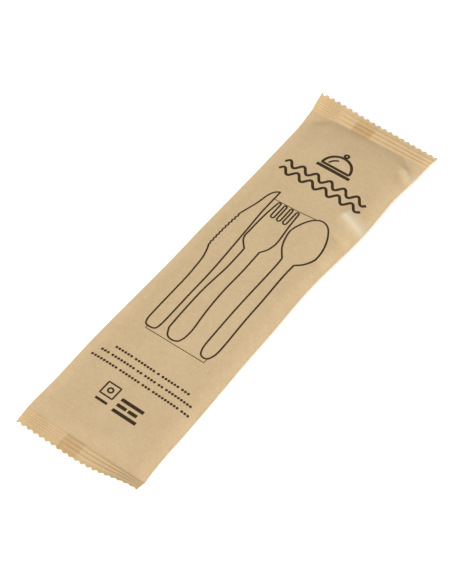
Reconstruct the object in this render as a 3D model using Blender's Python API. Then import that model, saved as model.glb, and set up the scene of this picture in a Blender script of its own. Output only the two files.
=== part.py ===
"""A sealed paper pack of wooden cutlery, lying on its back seam.

The pack is one sheet of brown paper made into a flat tube, with a fin seal down its back, crimped
shut across both ends and cut there with a zigzag knife. X runs across the pack, Y along it towards
the top of its print, and Z up from the surface that it lies on. The origin is under the middle of
the pack.
"""

import math

import bmesh
import bpy

PAPER_COLOUR = (0.63, 0.47, 0.27, 1.0)
PAPER_ROUGHNESS = 0.85

# Driving dimensions, in metres.
SEAL_THICKNESS = 0.0005
RIB_PITCH = 0.00255
RIB_COUNT = 3
RIB_HEIGHT = 0.0003
CUT_MARGIN = 0.0014
TOOTH_COUNT = 20
TOOTH_DEPTH = 0.0012
FIN_WIDTH = 0.0105
FIN_CENTRE = -0.0053
FIN_THICKNESS = 0.0003
FIN_SHADOW = 0.012

# Where each end seal starts, at the middle of the pack, and how much further its right side lies along Y.
FOOT_SEAL_Y, FOOT_SEAL_SKEW = -0.1211, -0.0007
HEAD_SEAL_Y, HEAD_SEAL_SKEW = 0.1171, 0.0001

# How far each end seal bends up out of level, at its left edge, its middle and its right edge.
FOOT_BEND = (0.0, 0.0, math.radians(36))
HEAD_BEND = (math.radians(24), 0.0, math.radians(-8))

# The two folded sides of the tube, as (y, x, z) from foot to head. The filled pack draws them in.
LEFT_FOLD = (
    (-0.131, -0.0349, 0.0045),
    (-0.118, -0.0358, 0.0045),
    (-0.098, -0.0354, 0.0042),
    (-0.066, -0.0358, 0.0037),
    (-0.008, -0.0343, 0.0035),
    (0.020, -0.0342, 0.0034),
    (0.060, -0.0335, 0.0033),
    (0.095, -0.0333, 0.0032),
    (0.104, -0.0336, 0.0028),
    (0.118, -0.0352, 0.0021),
    (0.127, -0.0356, 0.0021),
)
RIGHT_FOLD = (
    (-0.131, 0.0372, 0.0015),
    (-0.120, 0.0353, 0.0015),
    (-0.106, 0.0344, 0.0016),
    (-0.084, 0.0342, 0.0019),
    (-0.064, 0.0337, 0.0022),
    (-0.034, 0.0328, 0.0026),
    (-0.015, 0.0327, 0.0030),
    (0.014, 0.0318, 0.0032),
    (0.028, 0.0321, 0.0034),
    (0.062, 0.0342, 0.0037),
    (0.090, 0.0335, 0.0040),
    (0.106, 0.0346, 0.0040),
    (0.127, 0.0354, 0.0042),
)

# How far the front panel stands above the folded sides, down the middle of the pack, as (y, height).
CROWN = (
    (-0.121, 0.0),
    (-0.112, 0.0014),
    (-0.085, 0.0022),
    (-0.050, 0.0036),
    (-0.010, 0.0050),
    (0.060, 0.0052),
    (0.090, 0.0047),
    (0.100, 0.0040),
    (0.107, 0.0031),
    (0.112, 0.0020),
    (0.117, 0.0),
)
CROWN_SHAPE = (4.0, 0.7)

# At its four corners the front panel comes down to the folds sooner, by these lengths, in a flat triangle.
CORNER_START = 0.6
FOOT_CORNER = 0.005
HEAD_CORNER = 0.0095

# The back is flat over this share of its width, and rises to the seals over this length.
BASE_FLAT_SHARE = 0.78
BASE_RISE = 0.016

COLUMNS = 2 * TOOTH_COUNT
BODY_ROWS = 20


def through(points, at):
    """The smooth curve through points, each (position, value, ...), read at one position."""
    last = len(points) - 2
    i = max(k for k in range(last + 1) if k == 0 or points[k][0] <= at)
    before, start, end, after = (points[max(0, min(last + 1, k))] for k in range(i - 1, i + 3))
    span = end[0] - start[0]
    t = max(0.0, min(1.0, (at - start[0]) / span))
    values = []
    for p, a, b, q in zip(before[1:], start[1:], end[1:], after[1:]):
        leave = (b - p) / (end[0] - before[0]) * span
        arrive = (q - a) / (after[0] - start[0]) * span
        rise = t * t * (3 - 2 * t)
        values.append(a + (b - a) * rise + leave * t * (1 - t) ** 2 - arrive * t * t * (1 - t))
    return values[0] if len(values) == 1 else values


def eased(t):
    t = max(0.0, min(1.0, t))
    return t * t * (3 - 2 * t)


def seal_rows():
    """The distance of each row of a seal from where the seal starts, with the rib height there."""
    rows = []
    for step in range(2 * RIB_COUNT + 1):
        rows.append((step * RIB_PITCH / 2, RIB_HEIGHT * (step % 2)))
    rows.append((RIB_COUNT * RIB_PITCH + CUT_MARGIN, 0.0))
    return rows


def bend_at(bends, u):
    left, middle, right = bends
    return middle + (right - middle) * eased(u) + (left - middle) * eased(-u)


def sheet_point(u, y):
    """The middle surface between the folded sides, with u from -1 at the left fold to 1 at the right."""
    left_x, left_z = through(LEFT_FOLD, y)
    right_x, right_z = through(RIGHT_FOLD, y)
    share = (u + 1) / 2
    return left_x + (right_x - left_x) * share, left_z + (right_z - left_z) * share


def crown_height(u, y):
    """How far the front panel stands above the sheet's middle surface."""
    power, blunt = CROWN_SHAPE
    corner = max(0.0, abs(u) - CORNER_START) / (1 - CORNER_START)
    length, cut_off = (HEAD_SEAL_Y, HEAD_CORNER) if y > 0 else (-FOOT_SEAL_Y, FOOT_CORNER)
    return through(CROWN, y * length / (length - cut_off * corner)) * (1 - abs(u) ** power) ** blunt


def fin_relief(x):
    """How far the back lifts beside the fin seal that it lies on."""
    beyond = abs(x - FIN_CENTRE) - FIN_WIDTH / 2
    return 0.0 if beyond <= 0 else FIN_THICKNESS * (1 - eased(beyond / FIN_SHADOW))


def body_point(u, share, upper):
    """A point of the filled length between the seals, with share from 0 at the foot to 1 at the head."""
    foot = FOOT_SEAL_Y + FOOT_SEAL_SKEW * u
    head = HEAD_SEAL_Y + HEAD_SEAL_SKEW * u
    y = foot + (head - foot) * share
    x, z = sheet_point(u, y)
    if upper:
        return x, y, z + SEAL_THICKNESS / 2 + crown_height(u, y)
    ends = eased((y - foot) / BASE_RISE) * eased((head - y) / BASE_RISE)
    side = max(0.0, abs(u) - BASE_FLAT_SHARE) / (1 - BASE_FLAT_SHARE)
    drop = ends * (1 - side * side)
    return x, y, (z - SEAL_THICKNESS / 2) * (1 - drop) + fin_relief(x) * drop


def seal_point(u, distance, rib, outward, upper, tooth):
    """A point of an end seal. outward is -1 at the foot and 1 at the head."""
    start = FOOT_SEAL_Y + FOOT_SEAL_SKEW * u if outward < 0 else HEAD_SEAL_Y + HEAD_SEAL_SKEW * u
    bend = bend_at(FOOT_BEND if outward < 0 else HEAD_BEND, u)
    reach = distance + tooth
    y = start + outward * reach * math.cos(bend)
    x, _ = sheet_point(u, start + outward * reach)
    _, z = sheet_point(u, start)
    z += reach * math.sin(bend) + rib
    in_fin = abs(x - FIN_CENTRE) < FIN_WIDTH / 2
    return x, y, z + SEAL_THICKNESS / 2 if upper else z - SEAL_THICKNESS / 2 - FIN_THICKNESS * in_fin


def shape_pack(bm):
    """Gives every vertex of the two-sided sheet its place, reading its column and row from the flat grid."""
    rows = seal_rows()
    seal_steps = len(rows) - 1
    last_row = 2 * seal_steps + BODY_ROWS
    for vertex in bm.verts:
        u = vertex.co.x
        row = round((vertex.co.y + 1) / 2 * last_row)
        upper = vertex.co.z > 0
        column = round((u + 1) / 2 * COLUMNS)
        from_foot, from_head = row - seal_steps, row - seal_steps - BODY_ROWS
        if 0 <= from_foot <= BODY_ROWS:
            vertex.co = body_point(u, from_foot / BODY_ROWS, upper)
            continue
        outward = -1 if from_foot < 0 else 1
        step = -from_foot if from_foot < 0 else from_head
        distance, rib = rows[step]
        tooth = TOOTH_DEPTH * (column % 2 == 0) if step == seal_steps else 0.0
        vertex.co = seal_point(u, distance, rib, outward, upper, tooth)


def stand_on_origin(bm):
    """Moves the pack so that the middle of its box's underside is the origin."""
    low = [min(v.co[axis] for v in bm.verts) for axis in range(3)]
    high = [max(v.co[axis] for v in bm.verts) for axis in range(3)]
    shift = (-(low[0] + high[0]) / 2, -(low[1] + high[1]) / 2, -low[2])
    bmesh.ops.translate(bm, vec=shift, verts=bm.verts)


def paper_material():
    material = bpy.data.materials.new("brown_paper")
    material.use_nodes = True
    shader = material.node_tree.nodes["Principled BSDF"]
    shader.inputs["Base Color"].default_value = PAPER_COLOUR
    shader.inputs["Roughness"].default_value = PAPER_ROUGHNESS
    shader.inputs["Metallic"].default_value = 0.0
    return material


def make_pack():
    bm = bmesh.new()
    rows = 2 * (len(seal_rows()) - 1) + BODY_ROWS
    bmesh.ops.create_grid(bm, x_segments=COLUMNS, y_segments=rows, size=1.0)
    raised = bmesh.ops.extrude_face_region(bm, geom=bm.faces[:])["geom"]
    top = [item for item in raised if isinstance(item, bmesh.types.BMVert)]
    bmesh.ops.translate(bm, vec=(0, 0, 1), verts=top)
    shape_pack(bm)
    stand_on_origin(bm)
    bmesh.ops.recalc_face_normals(bm, faces=bm.faces[:])
    mesh = bpy.data.meshes.new("cutlery_pack")
    bm.to_mesh(mesh)
    bm.free()
    mesh.shade_smooth()
    mesh.materials.append(paper_material())
    return bpy.data.objects.new("cutlery_pack", mesh)


for thing in list(bpy.data.objects):
    bpy.data.objects.remove(thing)
collection = bpy.data.collections.new("wooden cutlery pack")
bpy.context.scene.collection.children.link(collection)
collection.objects.link(make_pack())
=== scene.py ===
import math

import bmesh
import bpy
from mathutils import Matrix, Vector, noise
from mathutils.bvhtree import BVHTree


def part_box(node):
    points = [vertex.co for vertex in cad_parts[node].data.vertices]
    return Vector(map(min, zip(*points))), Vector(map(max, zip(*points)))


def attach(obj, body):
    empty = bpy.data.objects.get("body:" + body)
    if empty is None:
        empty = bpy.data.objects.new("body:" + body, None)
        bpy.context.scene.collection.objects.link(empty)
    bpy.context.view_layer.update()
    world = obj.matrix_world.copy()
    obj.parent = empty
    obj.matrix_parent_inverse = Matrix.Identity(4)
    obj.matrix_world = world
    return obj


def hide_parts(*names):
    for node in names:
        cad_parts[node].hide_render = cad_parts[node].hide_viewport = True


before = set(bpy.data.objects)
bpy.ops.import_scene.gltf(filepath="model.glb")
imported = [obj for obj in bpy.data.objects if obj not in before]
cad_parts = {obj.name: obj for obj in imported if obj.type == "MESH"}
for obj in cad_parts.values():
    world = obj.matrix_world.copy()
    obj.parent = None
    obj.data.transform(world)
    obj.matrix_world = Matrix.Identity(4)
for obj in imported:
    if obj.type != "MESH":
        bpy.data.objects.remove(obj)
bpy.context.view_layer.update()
pack_low, pack_high = (Vector(corner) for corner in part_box("cutlery_pack"))
MM = 0.001

# The wrapper is one sheet of thin brown kraft paper, wrapped round the cutlery as a flat tube. Its two
# sides are plain folds. Both ends are pressed flat by hot ribbed jaws and cut there with a zigzag knife,
# and one corner of the foot end has curled up since.
FILM = 0.35 * MM
RIB_PITCH = 2.55 * MM
RIB_COUNT = 3
RIB_HEIGHT = 0.34 * MM
CUT_MARGIN = 1.4 * MM
TOOTH_COUNT = 20
TOOTH_DEPTH = 1.2 * MM

# Towards the left of each seal the ribs turn finer: where, on the scale of u, and over what length of it.
FINE_RIB_PITCH = 1.5 * MM
FINE_RIB_HEIGHT = 0.18 * MM
FOOT_FINE_ZONE = (-0.45, 0.35)
HEAD_FINE_ZONE = (-0.62, 0.12)

# The fin seal lies under the back. It lifts the back beside it, and shows as a step in the end seals.
FIN_WIDTH = 10.5 * MM
FIN_CENTRE = -5.3 * MM
FIN_THICKNESS = 0.3 * MM
FIN_SHADOW = 12 * MM
FIN_SHOWING = 0.6
FIN_STEP = 0.8 * MM

# Where each end seal starts at the middle of the pack, how much further its right side lies along Y, and
# how far it bends up out of level at its left edge, its middle and its right edge.
FOOT_SEAL = (-121.1 * MM, -0.7 * MM)
HEAD_SEAL = (117.1 * MM, 0.1 * MM)
FOOT_BEND = (0.0, 0.0, math.radians(36))
HEAD_BEND = (math.radians(24), 0.0, math.radians(-8))

# The folded sides, as (y, x, z) in millimetres from foot to head.
LEFT_FOLD = (
    (-131, -34.9, 4.5), (-118, -35.8, 4.5), (-98, -35.4, 4.2), (-66, -35.8, 3.7), (-8, -34.3, 3.5),
    (20, -34.2, 3.4), (60, -33.5, 3.3), (95, -33.3, 3.2), (104, -33.6, 2.8), (118, -35.2, 2.1),
    (127, -35.6, 2.1),
)
RIGHT_FOLD = (
    (-131, 37.2, 1.5), (-120, 35.3, 1.5), (-106, 34.4, 1.6), (-84, 34.2, 1.9), (-64, 33.7, 2.2),
    (-34, 32.8, 2.6), (-15, 32.7, 3.0), (14, 31.8, 3.2), (28, 32.1, 3.4), (62, 34.2, 3.7),
    (90, 33.5, 4.0), (106, 34.6, 4.0), (127, 35.4, 4.2),
)

# The front panel's height above the folds down the middle of the pack, as (y, height) in millimetres. At
# the four corners it comes down sooner, in a flat triangle.
CROWN = (
    (-121, 0.0), (-112, 1.4), (-85, 2.2), (-50, 3.6), (-10, 5.0), (60, 5.2), (90, 4.7), (100, 4.0),
    (107, 3.1), (112, 2.0), (117, 0.0),
)
CROWN_POWER, CROWN_BLUNT = 4.0, 0.7
CORNER_START = 0.6
FOOT_CORNER = 5 * MM
HEAD_CORNER = 9.5 * MM

# The back is flat over this share of its width, and rises to the seals over this length.
BASE_FLAT_SHARE = 0.78
BASE_RISE = 16 * MM

# Soft creases in the front panel, in millimetres: where each starts and ends, how far it stands up or
# dips, and how wide it falls away on its right and on its left, looking from start to end.
CREASES = (
    ((28, 108.3), (35, 103.8), 1.2, 4.0, 6.0),
    ((28, 104.5), (36, 100.0), -0.7, 4.5, 3.5),
    ((22.0, 64.8), (33.5, 62.2), 1.8, 5.4, 12.0),
    ((27, 59.5), (33, 55.0), 0.6, 4.0, 4.0),
    ((25, 51.5), (35, 49.0), -0.9, 9.0, 4.0),
    ((26, 34.0), (34, 31.5), -0.5, 5.0, 4.0),
)
CREASE_FADE = 5
CREASE_SHARPNESS = 1.4

# The unevenness of thin paper over loose cutlery: the length of a ripple across and along the pack, its
# height, and where in the noise it is read. It fades out over RELIEF_FADE before each seal.
RIPPLES = ((22 * MM, 34 * MM, 0.22 * MM, 0.3), (7 * MM, 9 * MM, 0.05 * MM, 4.1))
RELIEF_FADE = 9 * MM

# Painted light, wear and pressing, kept on the vertices for the material. The folded sides are painted
# lighter over this share of the half width, for the light they catch and for some wear, and the raised
# creases get a painted highlight by their height. The fin stains the seals darker, and the jaws leave a
# knurl at the left of the head seal and faintly at the foot.
FOLD_LIGHT_AND_WEAR_SHARE = 0.28
CREASE_HIGHLIGHT = 0.36
STAIN_EDGE = 0.5 * MM
STAIN_FADE = 3 * MM
FOOT_STAIN = 0.8
HEAD_STAIN_LOSS, HEAD_STAIN_LENGTH, HEAD_STAIN_BLUR = 0.75, 4.5 * MM, 2.5 * MM
KNURL_EDGE, KNURL_BLUR = -0.64, 0.06
FOOT_KNURL = 0.3

COLUMNS_PER_TOOTH = 8
ROWS_PER_RIB = 8
BODY_ROWS = 196


def eased(t):
    t = max(0.0, min(1.0, t))
    return t * t * (3 - 2 * t)


def through(points, at):
    """The smooth curve through points, each (position, value, ...), read at one position."""
    last = len(points) - 2
    i = max(k for k in range(last + 1) if k == 0 or points[k][0] <= at)
    before, start, end, after = (points[max(0, min(last + 1, k))] for k in range(i - 1, i + 3))
    span = end[0] - start[0]
    t = max(0.0, min(1.0, (at - start[0]) / span))
    values = []
    for p, a, b, q in zip(before[1:], start[1:], end[1:], after[1:]):
        leave = (b - p) / (end[0] - before[0]) * span
        arrive = (q - a) / (after[0] - start[0]) * span
        values.append(a + (b - a) * eased(t) + leave * t * (1 - t) ** 2 - arrive * t * t * (1 - t))
    return values


def across(u, y):
    """The place between the two folded sides, with u from -1 at the left fold to 1 at the right."""
    left_x, left_z = through(LEFT_FOLD, y / MM)
    right_x, right_z = through(RIGHT_FOLD, y / MM)
    share = (u + 1) / 2
    return (left_x + (right_x - left_x) * share) * MM, (left_z + (right_z - left_z) * share) * MM


def crease_height(x, y):
    """What the creases add to the front panel's height."""
    total = 0.0
    here = Vector((x, y)) / MM
    for start, end, height, right_width, left_width in CREASES:
        start, end = Vector(start), Vector(end)
        along = (end - start).normalized()
        offset = here - start
        side = along.x * offset.y - along.y * offset.x
        width = left_width if side > 0 else right_width
        reach = offset.dot(along)
        length = (end - start).length
        beyond = max(0.0, -reach, reach - length)
        fall = max(0.0, 1 - abs(side) / width) ** CREASE_SHARPNESS * (1 - eased(beyond / CREASE_FADE))
        total += height * MM * fall
    return total


def waviness(x, y):
    """What the ripples add to the front panel's height."""
    total = 0.0
    for width, length, height, place in RIPPLES:
        total += height * noise.noise(Vector((x / width, y / length, place)))
    return total


def over_fin(x, spread):
    """1 over the fin seal, falling to 0 at spread beyond its edges."""
    return 1 - eased((abs(x - FIN_CENTRE) - FIN_WIDTH / 2) / spread)


def body_point(u, share, upper):
    """A point of the filled length between the seals, with share from 0 at the foot to 1 at the head."""
    foot = FOOT_SEAL[0] + FOOT_SEAL[1] * u
    head = HEAD_SEAL[0] + HEAD_SEAL[1] * u
    y = foot + (head - foot) * share
    x, z = across(u, y)
    if upper:
        inward = (1 - abs(u) ** CROWN_POWER) ** CROWN_BLUNT
        ends = min(eased((y - foot) / RELIEF_FADE), eased((head - y) / RELIEF_FADE))
        corner = max(0.0, abs(u) - CORNER_START) / (1 - CORNER_START)
        length, cut_off = (HEAD_SEAL[0], HEAD_CORNER) if y > 0 else (-FOOT_SEAL[0], FOOT_CORNER)
        crown = through(CROWN, y / MM * length / (length - cut_off * corner))[0] * MM
        relief = crease_height(x, y) + waviness(x, y)
        return x, y, z + FILM / 2 + crown * inward + relief * min(1, 2 * inward) * ends
    rise = eased((y - foot) / BASE_RISE) * eased((head - y) / BASE_RISE)
    side = max(0.0, abs(u) - BASE_FLAT_SHARE) / (1 - BASE_FLAT_SHARE)
    drop = rise * (1 - side * side)
    return x, y, (z - FILM / 2) * (1 - drop) + FIN_THICKNESS * over_fin(x, FIN_SHADOW) * drop


def rib_profile(distance, u, outward):
    """The height of the crimped ribs. outward is -1 at the foot and 1 at the head."""
    if distance > RIB_COUNT * RIB_PITCH:
        return 0.0
    coarse = RIB_HEIGHT * (0.5 - 0.5 * math.cos(2 * math.pi * distance / RIB_PITCH))
    fine = FINE_RIB_HEIGHT * (0.5 - 0.5 * math.cos(2 * math.pi * distance / FINE_RIB_PITCH))
    zone, blur = FOOT_FINE_ZONE if outward < 0 else HEAD_FINE_ZONE
    share = eased((u - zone) / blur)
    return coarse * share + fine * (1 - share)


def bend_at(bends, u):
    """How far a seal bends up at u, from its bends at the left edge, the middle and the right edge."""
    left, middle, right = bends
    return middle + (right - middle) * eased(u) + (left - middle) * eased(-u)


def seal_point(u, distance, outward, upper):
    """A point of an end seal, at a distance from where the seal starts."""
    line, skew = FOOT_SEAL if outward < 0 else HEAD_SEAL
    start = line + skew * u
    cut = RIB_COUNT * RIB_PITCH + CUT_MARGIN
    tooth = 0.5 + 0.5 * math.cos(math.pi * (u + 1) * TOOTH_COUNT)
    beyond = max(0.0, distance - cut) / TOOTH_DEPTH
    reach = min(distance, cut) + TOOTH_DEPTH * beyond * tooth
    bend = bend_at(FOOT_BEND if outward < 0 else HEAD_BEND, u)
    y = start + outward * reach * math.cos(bend)
    x, _ = across(u, start + outward * reach)
    _, z = across(u, start)
    z += reach * math.sin(bend) + rib_profile(distance, u, outward) * (1 - beyond)
    if upper:
        return x, y, z + FILM / 2 + FIN_THICKNESS * FIN_SHOWING * over_fin(x, FIN_STEP)
    return x, y, z - FILM / 2


def seal_distances():
    """How far each row of a seal lies from where the seal starts: the ribs, the margin and the teeth."""
    ribs = [i * RIB_PITCH / ROWS_PER_RIB for i in range(RIB_COUNT * ROWS_PER_RIB + 1)]
    cut = RIB_COUNT * RIB_PITCH + CUT_MARGIN
    teeth = [cut, cut + TOOTH_DEPTH / 3, cut + 2 * TOOTH_DEPTH / 3, cut + TOOTH_DEPTH]
    return ribs + [cut - CUT_MARGIN / 2] + teeth


distances = seal_distances()
seal_rows = len(distances) - 1
row_count = 2 * seal_rows + BODY_ROWS


def seal_place(row):
    """The seal that a row is part of, -1 at the foot and 1 at the head, and the row's distance along it."""
    if row < seal_rows:
        return -1, distances[seal_rows - row]
    return 1, distances[row - seal_rows - BODY_ROWS]


def in_body(row):
    return seal_rows <= row <= seal_rows + BODY_ROWS


def two_sided_sheet(columns, rows):
    """A closed flat slab from -1 to 1 across and along, whose upper vertices have z above 0."""
    bm = bmesh.new()
    bmesh.ops.create_grid(bm, x_segments=columns, y_segments=rows, size=1.0)
    raised = bmesh.ops.extrude_face_region(bm, geom=bm.faces[:])["geom"]
    top = [item for item in raised if isinstance(item, bmesh.types.BMVert)]
    bmesh.ops.translate(bm, vec=(0, 0, 1), verts=top)
    return bm


def row_of(vertex):
    """The row of the flat slab that a vertex is in, counted from the foot."""
    return round((vertex.co.y + 1) / 2 * row_count)


def into_scene(name, bm):
    """Makes the object of a finished mesh."""
    mesh = bpy.data.meshes.new(name)
    bm.to_mesh(mesh)
    bm.free()
    piece = bpy.data.objects.new(name, mesh)
    bpy.context.collection.objects.link(piece)
    return piece


bm = two_sided_sheet(TOOTH_COUNT * COLUMNS_PER_TOOTH, row_count)
pressed_layer = bm.verts.layers.float.new("pressed")
doubled_layer = bm.verts.layers.float.new("doubled")
knurled_layer = bm.verts.layers.float.new("knurled")
fold_light_and_wear_layer = bm.verts.layers.float.new("fold_light_and_wear")
crease_highlight_layer = bm.verts.layers.float.new("crease_highlight")
for vertex in bm.verts:
    u = vertex.co.x
    row = row_of(vertex)
    upper = vertex.co.z > 0
    # The folded sides are painted lighter: painted light that they catch, with some wear.
    vertex[fold_light_and_wear_layer] = 1 - eased((1 - abs(u)) / FOLD_LIGHT_AND_WEAR_SHARE)
    if in_body(row):
        vertex.co = body_point(u, (row - seal_rows) / BODY_ROWS, upper)
        if upper:
            # A raised crease gets a painted highlight, paler with its height.
            risen = max(0.0, crease_height(vertex.co.x, vertex.co.y)) / MM
            vertex[crease_highlight_layer] = min(1.0, CREASE_HIGHLIGHT * risen * risen)
            near_head = 1 - eased((HEAD_SEAL[0] - vertex.co.y) / STAIN_FADE)
            vertex[doubled_layer] = over_fin(vertex.co.x, STAIN_EDGE) * near_head
        continue
    outward, distance = seal_place(row)
    vertex.co = seal_point(u, distance, outward, upper)
    vertex[pressed_layer] = 1.0
    at_head = outward > 0
    beyond_stain = eased((distance - HEAD_STAIN_LENGTH) / HEAD_STAIN_BLUR)
    stain = 1 - HEAD_STAIN_LOSS * beyond_stain if at_head else FOOT_STAIN
    vertex[doubled_layer] = over_fin(vertex.co.x, STAIN_EDGE) * stain
    vertex[knurled_layer] = (1 - eased((u - KNURL_EDGE) / KNURL_BLUR)) * (1 if at_head else FOOT_KNURL)
low = Vector(min(v.co[axis] for v in bm.verts) for axis in range(3))
high = Vector(max(v.co[axis] for v in bm.verts) for axis in range(3))
to_frame = (pack_low + pack_high) / 2 - (low + high) / 2
to_frame.z = pack_low.z - low.z
bmesh.ops.translate(bm, vec=to_frame, verts=bm.verts)
bmesh.ops.recalc_face_normals(bm, faces=bm.faces[:])
paper_surface = BVHTree.FromBMesh(bm)
wrapper = into_scene("wrapper", bm)
wrapper.data.shade_smooth()

# The paper's colours, the pale paper of the painted highlight on the raised creases, and what the
# painted light and wear on the folds, pressing and the doubled paper multiply them by.
PULP_DARK, PULP_PALE = (0.612, 0.448, 0.254, 1), (0.648, 0.480, 0.279, 1)
FIBRE_DARK, FIBRE_PALE = (0.53, 0.38, 0.21, 1), (0.68, 0.52, 0.32, 1)
# The pale paper of the painted highlight on the raised creases.
CREASE_HIGHLIGHT_PAPER = (0.75, 0.635, 0.445, 1)
FLOCK_TINT = (0.955, 0.95, 0.94, 1)
# Painted light, with some wear: how much lighter the folded sides are.
FOLD_LIGHT_AND_WEAR_TINT = (1.13, 1.13, 1.13, 1)
PRESSED_TINT = (1.07, 1.03, 0.96, 1)
DOUBLED_TINT = (0.86, 0.79, 0.72, 1)
KNURL_TINT = (0.74, 0.70, 0.64, 1)

# The pale fibres lie in three directions, as (turn, how much finer they are across than along), and the
# dark ones a little further round.
FIBRE_LAYS = ((0.35, 9), (1.25, 11), (2.3, 8))
DARK_FIBRE_TURN = 0.7
KNURL_PITCH = 1.1 * MM
GRAIN_HEIGHT = 0.15 * MM


def node_maker(material):
    """A short way to add a node and link its inputs."""
    tree = material.node_tree

    def add(kind, inputs=None, **settings):
        node = tree.nodes.new(kind)
        for name, value in settings.items():
            setattr(node, name, value)
        for name, value in (inputs or {}).items():
            if isinstance(value, bpy.types.NodeSocket):
                tree.links.new(value, node.inputs[name])
            else:
                node.inputs[name].default_value = value
        return node

    return add


def kraft_material(name):
    """Uncoated brown kraft: cloudy pulp, pale and dark fibres lying all ways, and a matt, grained face."""
    material = bpy.data.materials.new(name)
    material.use_nodes = True
    shader = material.node_tree.nodes["Principled BSDF"]
    shader.inputs["Roughness"].default_value = 0.82
    shader.inputs["Specular IOR Level"].default_value = 0.25
    add = node_maker(material)
    place = add("ShaderNodeTexCoord").outputs["Object"]

    # A colour Mix node has sockets of the same name for each data type, so they are found by number.
    def mixed(factor, a, b, blend="MIX"):
        node = add("ShaderNodeMix", data_type="RGBA", blend_type=blend)
        for index, value in ((0, factor), (6, a), (7, b)):
            if isinstance(value, bpy.types.NodeSocket):
                material.node_tree.links.new(value, node.inputs[index])
            else:
                node.inputs[index].default_value = value
        return node.outputs[2]

    def tinted(colour, tint):
        return mixed(1.0, colour, tint, "MULTIPLY")

    def noisy(scale, detail, stretch=(1, 1, 1), turn=0.0):
        moved = add("ShaderNodeMapping", {"Vector": place, "Scale": stretch, "Rotation": (0, 0, turn)})
        inputs = {"Vector": moved.outputs[0], "Scale": scale, "Detail": detail}
        return add("ShaderNodeTexNoise", inputs).outputs["Fac"]

    def band(value, low, high):
        ramp = add("ShaderNodeMapRange", {"Value": value, "From Min": low, "From Max": high})
        return ramp.outputs[0]

    def kept_on_vertices(layer):
        return add("ShaderNodeAttribute", attribute_name=layer).outputs["Fac"]

    cloud = band(noisy(70, 3), 0.3, 0.7)
    flock = band(noisy(320, 2), 0.3, 0.7)
    grain = band(noisy(1100, 2), 0.25, 0.75)
    colour = mixed(cloud, PULP_DARK, PULP_PALE)
    colour = mixed(flock, tinted(colour, FLOCK_TINT), colour)
    colour = mixed(grain, tinted(colour, FLOCK_TINT), colour)
    for turn, fineness in FIBRE_LAYS:
        stretch = (1, fineness, 1)
        pale = band(noisy(420, 1, stretch, turn), 0.66, 0.74)
        colour = mixed(pale, colour, FIBRE_PALE)
        dark = band(noisy(370, 1, stretch, turn + DARK_FIBRE_TURN), 0.68, 0.76)
        colour = mixed(dark, colour, FIBRE_DARK)
    # Painted light with some wear: the folded sides are lighter.
    colour = mixed(kept_on_vertices("fold_light_and_wear"), colour, tinted(colour, FOLD_LIGHT_AND_WEAR_TINT))
    # Painted highlight: the raised creases turn towards pale paper by their height.
    colour = mixed(kept_on_vertices("crease_highlight"), colour, CREASE_HIGHLIGHT_PAPER)
    colour = mixed(kept_on_vertices("pressed"), colour, tinted(colour, PRESSED_TINT))
    colour = mixed(kept_on_vertices("doubled"), colour, tinted(colour, DOUBLED_TINT))

    # The wave texture repeats every pi / 10 of its scaled length.
    knurl_wave = {"Vector": place, "Scale": math.pi / 10 / KNURL_PITCH, "Distortion": 0.0}
    rows = add("ShaderNodeTexWave", knurl_wave, bands_direction="Y").outputs["Fac"]
    columns = add("ShaderNodeTexWave", knurl_wave, bands_direction="X").outputs["Fac"]
    knurl = add("ShaderNodeMath", {0: rows, 1: columns}, operation="MULTIPLY").outputs[0]
    knurled = {0: knurl, 1: kept_on_vertices("knurled")}
    knurl = add("ShaderNodeMath", knurled, operation="MULTIPLY").outputs[0]
    colour = mixed(knurl, colour, tinted(colour, KNURL_TINT))
    material.node_tree.links.new(colour, shader.inputs["Base Color"])

    fibre = add("ShaderNodeMath", {0: noisy(1500, 3), 1: 0.12}, operation="MULTIPLY").outputs[0]
    pulp = add("ShaderNodeMath", {0: noisy(260, 2), 1: 0.25}, operation="MULTIPLY").outputs[0]
    height = add("ShaderNodeMath", {0: fibre, 1: pulp}, operation="ADD").outputs[0]
    height = add("ShaderNodeMath", {0: height, 1: knurl}, operation="ADD").outputs[0]
    bump = add("ShaderNodeBump", {"Height": height, "Strength": 0.6, "Distance": GRAIN_HEIGHT})
    material.node_tree.links.new(bump.outputs[0], shader.inputs["Normal"])
    return material


wrapper.data.materials.append(kraft_material("kraft"))
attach(wrapper, "root")
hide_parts("cutlery_pack")

# The fin seal is the joint down the back of the tube: the sheet's two long edges are pressed face to face
# and folded flat to the left, and both end seals run across it.
FIN_COLUMNS = 12
FIN_GAP = 0.02 * MM
FIN_SHARP_ANGLE = math.radians(40)


def fin_point(side, row):
    """The wrapper's back over the fin, with side from -1 to 1 across the fin."""
    x = FIN_CENTRE + side * FIN_WIDTH / 2
    share = (row - seal_rows) / BODY_ROWS
    middle_y = FOOT_SEAL[0] + (HEAD_SEAL[0] - FOOT_SEAL[0]) * share
    left, right = across(-1, middle_y)[0], across(1, middle_y)[0]
    u = 2 * (x - left) / (right - left) - 1
    if in_body(row):
        return body_point(u, share, False)
    outward, distance = seal_place(row)
    return seal_point(u, distance, outward, False)


bm = two_sided_sheet(FIN_COLUMNS, row_count)
for vertex in bm.verts:
    upper = vertex.co.z > 0
    x, y, z = fin_point(vertex.co.x, row_of(vertex))
    vertex.co = Vector((x, y, z - (FIN_GAP if upper else FIN_THICKNESS))) + to_frame
bmesh.ops.recalc_face_normals(bm, faces=bm.faces[:])
fin_seal = into_scene("fin_seal", bm)
fin_seal.data.shade_smooth()
fin_seal.data.set_sharp_from_angle(angle=FIN_SHARP_ANGLE)
fin_seal.data.materials.append(kraft_material("kraft_fin"))
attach(fin_seal, "root")

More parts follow.
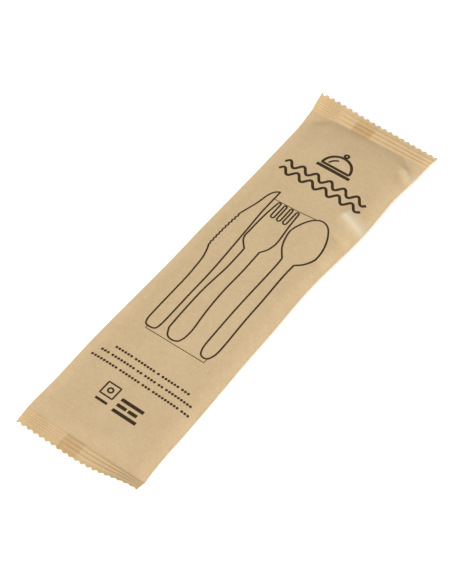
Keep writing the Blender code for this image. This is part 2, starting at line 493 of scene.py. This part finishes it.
# The print is one dark brown ink, put on the paper before it is made into packs. The main drawing is a
# knife, a fork and a spoon in plain outline, with the thin outline of the napkin behind them. The
# drawings are flat and in millimetres, and are laid on the paper from above.
INK_PROUD = 0.05 * MM
INK_HALF = 0.03 * MM
INK_STEP = 0.7 * MM
INK_DARK, INK_PALE = (0.030, 0.017, 0.005, 1), (0.062, 0.038, 0.014, 1)
ABOVE_THE_PACK = 50 * MM
CURVE_STEPS = 10
NO_LENGTH = 1e-6
DRAWING_PLACE = (2.1, -2.9)
OUTLINE = 0.92
THIN_LINE = 0.4


def ink_material():
    """Dark brown water-based ink, matt, a little uneven where the paper drank it."""
    material = bpy.data.materials.new("ink")
    material.use_nodes = True
    shader = material.node_tree.nodes["Principled BSDF"]
    shader.inputs["Roughness"].default_value = 0.7
    shader.inputs["Specular IOR Level"].default_value = 0.2
    add = node_maker(material)
    place = add("ShaderNodeTexCoord").outputs["Object"]
    soak = add("ShaderNodeTexNoise", {"Vector": place, "Scale": 800.0, "Detail": 2.0}).outputs["Fac"]
    ramp = add("ShaderNodeValToRGB", {"Fac": soak})
    for stop, colour, position in zip(ramp.color_ramp.elements, (INK_DARK, INK_PALE), (0.35, 0.75)):
        stop.color = colour
        stop.position = position
    material.node_tree.links.new(ramp.outputs[0], shader.inputs["Base Color"])
    return material


ink = ink_material()


def smoothed(points):
    """A smooth run through flat points, from the first to the last."""
    knots = [Vector(p) for p in points]
    if len(knots) == 2:
        return knots
    run = []
    last = len(knots) - 1
    for i in range(last):
        before, start, end, after = (knots[max(0, min(last, k))] for k in range(i - 1, i + 3))
        bend = 2 * before - 5 * start + 4 * end - after
        twist = 3 * start - before - 3 * end + after
        for k in range(CURVE_STEPS):
            t = k / CURVE_STEPS
            run.append(0.5 * (2 * start + (end - before) * t + bend * t * t + twist * t ** 3))
    return run + [knots[-1]]


def arc(centre, radius, start, end, steps=12):
    """Flat points round a centre, from one angle to another in degrees."""
    turns = [math.radians(start + (end - start) * i / steps) for i in range(steps + 1)]
    return [(centre[0] + radius * math.cos(a), centre[1] + radius * math.sin(a)) for a in turns]


def even_steps(path):
    """The path with extra points, so that no step is longer than the ink can follow over the paper."""
    points = [path[0]]
    for end in path[1:]:
        start = points[-1]
        length = (end - start).length * MM
        if length < NO_LENGTH:
            continue
        pieces = max(1, math.ceil(length / INK_STEP))
        points += [start.lerp(end, (k + 1) / pieces) for k in range(pieces)]
    return points


def print_strokes(name, strokes, place, turn=0.0):
    """Inked strokes, each (flat points in mm, width in mm, closed), laid on the paper round place."""
    curve = bpy.data.curves.new(name, "CURVE")
    curve.dimensions = "3D"
    # A point's radius of 1 then draws a line 1 mm wide.
    curve.bevel_depth = 0.5 * MM
    curve.bevel_resolution = 1
    curve.use_fill_caps = True
    cosine, sine = math.cos(math.radians(turn)), math.sin(math.radians(turn))
    for path, width, closed in strokes:
        path = [Vector(p) for p in path]
        points = even_steps(path + [path[0]] if closed else path)
        if closed:
            points.pop()
        spline = curve.splines.new("POLY")
        spline.points.add(len(points) - 1)
        spline.use_cyclic_u = closed
        for target, flat in zip(spline.points, points):
            x = flat.x * cosine - flat.y * sine + place[0]
            y = flat.x * sine + flat.y * cosine + place[1]
            target.co = (x * MM, y * MM, 0, 1)
            target.radius = width
    drawn = bpy.data.objects.new(name, curve)
    bpy.context.collection.objects.link(drawn)
    graph = bpy.context.evaluated_depsgraph_get()
    flat_mesh = bpy.data.meshes.new_from_object(drawn.evaluated_get(graph))
    bpy.data.objects.remove(drawn)
    bm = bmesh.new()
    bm.from_mesh(flat_mesh)
    bmesh.ops.remove_doubles(bm, verts=bm.verts[:], dist=NO_LENGTH)
    for vertex in bm.verts:
        vertex.co.x += to_frame.x
        vertex.co.y += to_frame.y
        above = Vector((vertex.co.x, vertex.co.y, ABOVE_THE_PACK))
        paper = paper_surface.ray_cast(above, Vector((0, 0, -1)))[0]
        face = 0.0 if abs(vertex.co.z) < NO_LENGTH else math.copysign(INK_HALF, vertex.co.z)
        vertex.co.z = paper.z + INK_PROUD + face
    bmesh.ops.recalc_face_normals(bm, faces=bm.faces[:])
    piece = into_scene(name, bm)
    piece.data.materials.append(ink)
    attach(piece, "root")


KNIFE_TIP, KNIFE_HEEL = (-15.4, 61.2), (-25.2, 13.7)
knife_back = smoothed(
    [KNIFE_TIP, (-15.5, 46), (-14.8, 30), (-13.8, 2), (-14.1, -20), (-14.4, -36), (-14.7, -41)]
)
knife_end = smoothed([(-14.7, -41), (-15.6, -43.9), (-18.5, -44.8), (-21.3, -44.0), (-22.3, -41)])
knife_handle = smoothed(
    [(-22.3, -41), (-22.3, -36), (-21.7, -12), (-22.0, -2), (-22.6, 5), (-23.8, 10), KNIFE_HEEL]
)

# The serrated edge leans inward towards the tip and bows out a little. Each tooth starts at one share of
# its pitch and takes up another.
TEETH, TEETH_RISE, TEETH_LEAN, TEETH_BOW, TEETH_BITE = 10, 24.7, 1.4, 0.4, 0.3
TOOTH_START, TOOTH_SHARE = 0.2, 0.6
knife_teeth = []
for tooth in range(TEETH):
    foot = KNIFE_HEEL[1] + TEETH_RISE * (tooth + TOOTH_START) / TEETH
    lean = TEETH_LEAN * tooth / TEETH - TEETH_BOW * math.sin(math.pi * tooth / TEETH)
    knife_teeth.append(Vector((KNIFE_HEEL[0] + lean + TEETH_BITE, foot)))
    knife_teeth.append(Vector((KNIFE_HEEL[0] + lean - TEETH_BITE, foot + TEETH_RISE * TOOTH_SHARE / TEETH)))
knife_belly = smoothed(
    [knife_teeth[-1], (-22.6, 43.5), (-20.9, 49.2), (-19.6, 55.8), (-17.9, 59.4), KNIFE_TIP]
)
knife = knife_back + knife_end + knife_handle + knife_teeth + knife_belly

TINES, FIRST_TINE_X, TINE_PITCH = 4, -11.3, 3.7
TINE_TOP, TINE_ROUND_DROP, TINE_RADIUS, SLOT_FOOT = 55.5, 1.0, 0.8, 46.2
tines = []
for tine in range(TINES):
    x = FIRST_TINE_X + tine * TINE_PITCH
    tines += arc((x, TINE_TOP - TINE_ROUND_DROP), TINE_RADIUS, 180, 0, 6)
    if tine < TINES - 1:
        tines += arc((x + TINE_PITCH / 2, SLOT_FOOT), TINE_PITCH / 2 - TINE_RADIUS, 180, 360, 6)
fork_left = smoothed([(-10.4, -39.6), (-10.6, -28), (-10.3, -11), (-9.0, 5), (-8.8, 14), (-8.9, 21.1)])
fork_left += smoothed([(-8.9, 21.1), (-13.1, 26.5), (-13.4, 33.0), (-13.1, 44.5), tines[0]])
fork_right = smoothed([tines[-1], (1.2, 45), (2.3, 34), (1.3, 27.8), (-1.3, 23.4)])
fork_right += smoothed([(-1.3, 23.4), (-1.1, 9.5), (-1.6, -7), (-1.1, -22), (-0.1, -34), (-0.4, -40)])
fork_end = smoothed([(-0.4, -40), (-1.9, -43.6), (-5.1, -44.8), (-8.3, -43.7), (-10.4, -39.6)])
fork = fork_left + [Vector(p) for p in tines] + fork_right + fork_end

spoon_bowl = smoothed(
    [(9.9, 27.2), (6.0, 32.6), (4.0, 38.2), (3.3, 44.5), (5.9, 51.9), (9.4, 56.5), (13.3, 58.0),
     (17.4, 56.2), (20.9, 50.6), (23.0, 43.6), (23.1, 37.2), (20.9, 31.3), (17.1, 27.1)]
)
spoon_right = smoothed([(17.1, 27.1), (16.8, 18), (17.4, -1), (17.5, -14), (18.0, -34), (17.7, -39.8)])
spoon_end = smoothed([(17.7, -39.8), (16.3, -43.3), (14.0, -44.4), (11.6, -43.3), (10.3, -39.8)])
spoon_left = smoothed([(10.3, -39.8), (10.0, -34), (9.9, -11), (10.1, 6), (10.2, 22), (9.9, 27.2)])
spoon = spoon_bowl + spoon_right + spoon_end + spoon_left

napkin_top = [(-15.0, 55.8), (-1.5, 56.0), (9.3, 57.0)]
napkin_foot = [(-19.7, -44.8), (-19.7, -46.4), (15.9, -46.6), (15.9, -43.4)]
print_strokes(
    "print_cutlery",
    [(knife, OUTLINE, True), (fork, OUTLINE, True), (spoon, OUTLINE, True),
     (napkin_top, THIN_LINE, False), (napkin_foot, THIN_LINE, False)],
    DRAWING_PLACE,
)

# Over the drawing stands a covered serving dish, as on any table sign: a plate, a dome with a line of
# shine in it, and a round knob on top.
DISH_PLACE = (0.1, 91.6)
PLATE_WIDTH, PLATE_Y, PLATE_LINE = 20.0, -6.6, 1.9
DOME_RADIUS, DOME_Y, DOME_LINE = 8.2, -4.4, 1.5
SHINE_INSET, SHINE_LINE = 2.9, 1.1
KNOB_RADIUS, KNOB_DROP, KNOB_LINE = 1.1, 2.4, 1.3
dish = [
    ([(-PLATE_WIDTH / 2, PLATE_Y), (PLATE_WIDTH / 2, PLATE_Y)], PLATE_LINE, False),
    (arc((0, DOME_Y), DOME_RADIUS, 0, 180, 24) + [(DOME_RADIUS, DOME_Y)], DOME_LINE, False),
    (arc((0, DOME_Y), DOME_RADIUS - SHINE_INSET, 105, 165, 8), SHINE_LINE, False),
    (arc((0, DOME_RADIUS - KNOB_DROP), KNOB_RADIUS, 0, 330, 11), KNOB_LINE, True),
]
print_strokes("print_dish", dish, DISH_PLACE)

# Under the dish is a plain band of two waves, one above the other, across most of the front.
WAVES_PLACE = (1.2, 74.3)
BAND_LENGTH, WAVE_COUNT, STEPS_PER_WAVE = 50.0, 6, 24
WAVE_SWING, WAVE_SPACING, WAVE_LINE = 1.9, 5.4, 1.5
waves = []
for level in (-0.5, 0.5):
    steps = STEPS_PER_WAVE * WAVE_COUNT
    path = []
    for i in range(steps + 1):
        along = i / steps
        sway = WAVE_SWING * math.sin(2 * math.pi * WAVE_COUNT * along)
        path.append((BAND_LENGTH * (along - 0.5), level * WAVE_SPACING + sway))
    waves.append((path, WAVE_LINE, False))
print_strokes("print_waves", waves, WAVES_PLACE)

# Towards the foot, where a pack says what is in it, are three rows of small round beads in groups. They
# run slightly downhill, as the print does on a sheet that was wrapped a little askew.
ROWS_PLACE, ROWS_TURN = (0.3, -67.6), -2.2
ROWS = ((6, 7, 1, 6, 3), (3, 8, 2, 4, 2, 9), (9, 7, 3, 9, 3))
ROW_PITCH, BEAD_PITCH, BEAD_GAP, BEAD = 4.9, 1.85, 1.0, 1.7
beads = []
for row, groups in enumerate(ROWS):
    x = -(BEAD_PITCH * (sum(groups) - 1) + BEAD_GAP * (len(groups) - 1)) / 2
    for group in groups:
        for _ in range(group):
            beads.append((arc((x, -row * ROW_PITCH), BEAD / 4, 0, 288, 4), BEAD / 2, True))
            x += BEAD_PITCH
        x += BEAD_GAP
print_strokes("print_rows", beads, ROWS_PLACE, turn=ROWS_TURN)

# Under the rows is a plain square mark with a ring in it and a short bar below, and beside it three lines
# of heavy bars.
MARK_TURN = -1.5
MARK_PLACE, MARK_SIZE, MARK_LINE = (-8.9, -89.2), 7.6, 0.9
RING_RADIUS, RING_LINE = 1.4, 1.0
SHORT_BAR, SHORT_BAR_Y, SHORT_BAR_LINE = 7.2, -7.4, 1.5
corner, bar_end = MARK_SIZE / 2, SHORT_BAR / 2
mark = [
    ([(-corner, -corner), (corner, -corner), (corner, corner), (-corner, corner)], MARK_LINE, True),
    (arc((0, 0), RING_RADIUS, 0, 330, 11), RING_LINE, True),
    ([(-bar_end, SHORT_BAR_Y), (bar_end, SHORT_BAR_Y)], SHORT_BAR_LINE, False),
]
print_strokes("print_mark", mark, MARK_PLACE, turn=MARK_TURN)

HEAVY_PLACE, HEAVY_PITCH, HEAVY_GAP, HEAVY_LINE = (-1.5, -90.2), 3.7, 1.0, 2.0
HEAVY_BARS = ((13.6,), (5.8, 5.4), (14.4,))
heavy = []
for row, bars in enumerate(HEAVY_BARS):
    x = 0.0
    for bar in bars:
        heavy.append(([(x, -row * HEAVY_PITCH), (x + bar, -row * HEAVY_PITCH)], HEAVY_LINE, False))
        x += bar + HEAVY_GAP
print_strokes("print_heavy_rows", heavy, HEAVY_PLACE, turn=MARK_TURN)

# The floor is a plain pale sheet that glows a little, so that the shadows on it stay faint. A hair's gap
# keeps it clear of the paper.
FLOOR_HALF_SIZE = 3.0
FLOOR_GAP = 0.05 * MM
bm = bmesh.new()
bmesh.ops.create_grid(bm, x_segments=1, y_segments=1, size=FLOOR_HALF_SIZE)
floor = into_scene("floor", bm)
floor_material = bpy.data.materials.new("floor")
floor_material.use_nodes = True
floor_shader = floor_material.node_tree.nodes["Principled BSDF"]
floor_shader.inputs["Base Color"].default_value = (0.99, 0.99, 0.99, 1)
floor_shader.inputs["Roughness"].default_value = 0.9
floor_shader.inputs["Emission Color"].default_value = (1, 1, 1, 1)
floor_shader.inputs["Emission Strength"].default_value = 0.3
floor.data.materials.append(floor_material)
floor.data.transform(Matrix.Translation((0, 0, -FLOOR_GAP)))

# The light is a broad key from the foot of the pack, a low fill from its head, and a white surround, which
# the camera sees as white and the pack gets less light from.
SURROUND_LIGHT = 0.38
world = bpy.data.worlds.new("studio")
world.use_nodes = True
surround = world.node_tree.nodes["Background"]
surround.inputs["Color"].default_value = (1, 1, 1, 1)
seen_directly = world.node_tree.nodes.new("ShaderNodeLightPath").outputs["Is Camera Ray"]
strength = world.node_tree.nodes.new("ShaderNodeMapRange")
strength.inputs["To Min"].default_value = SURROUND_LIGHT
strength.inputs["To Max"].default_value = 1.0
world.node_tree.links.new(seen_directly, strength.inputs["Value"])
world.node_tree.links.new(strength.outputs[0], surround.inputs["Strength"])
bpy.context.scene.world = world

# Each lamp's name, strength, spread in degrees, and the way its light travels.
LAMPS = (("key", 2.35, 35, (-0.12, 1.0, -1.1)), ("fill", 0.5, 60, (0.0, -0.82, -0.57)))
for name, energy, spread, travel in LAMPS:
    lamp_data = bpy.data.lights.new(name, "SUN")
    lamp_data.energy = energy
    lamp_data.angle = math.radians(spread)
    lamp = bpy.data.objects.new(name, lamp_data)
    lamp.rotation_euler = Vector(travel).to_track_quat("-Z", "Y").to_euler()
    bpy.context.collection.objects.link(lamp)

# The camera looks down on the front from the foot's right, from two metres away with a long lens.
CAMERA_PLACE = Vector((0.74492, -1.02795, 1.62332))
CAMERA_TURN = (0.66296, 0, 0.63008)
camera_data = bpy.data.cameras.new("camera")
camera_data.lens = 256
camera_data.sensor_fit = "AUTO"
camera_data.sensor_width = 36
camera = bpy.data.objects.new("camera", camera_data)
camera.location = CAMERA_PLACE + Vector((to_frame.x, to_frame.y, 0))
camera.rotation_euler = CAMERA_TURN
bpy.context.collection.objects.link(camera)
bpy.context.scene.camera = camera
bpy.context.scene.view_settings.view_transform = "Standard"
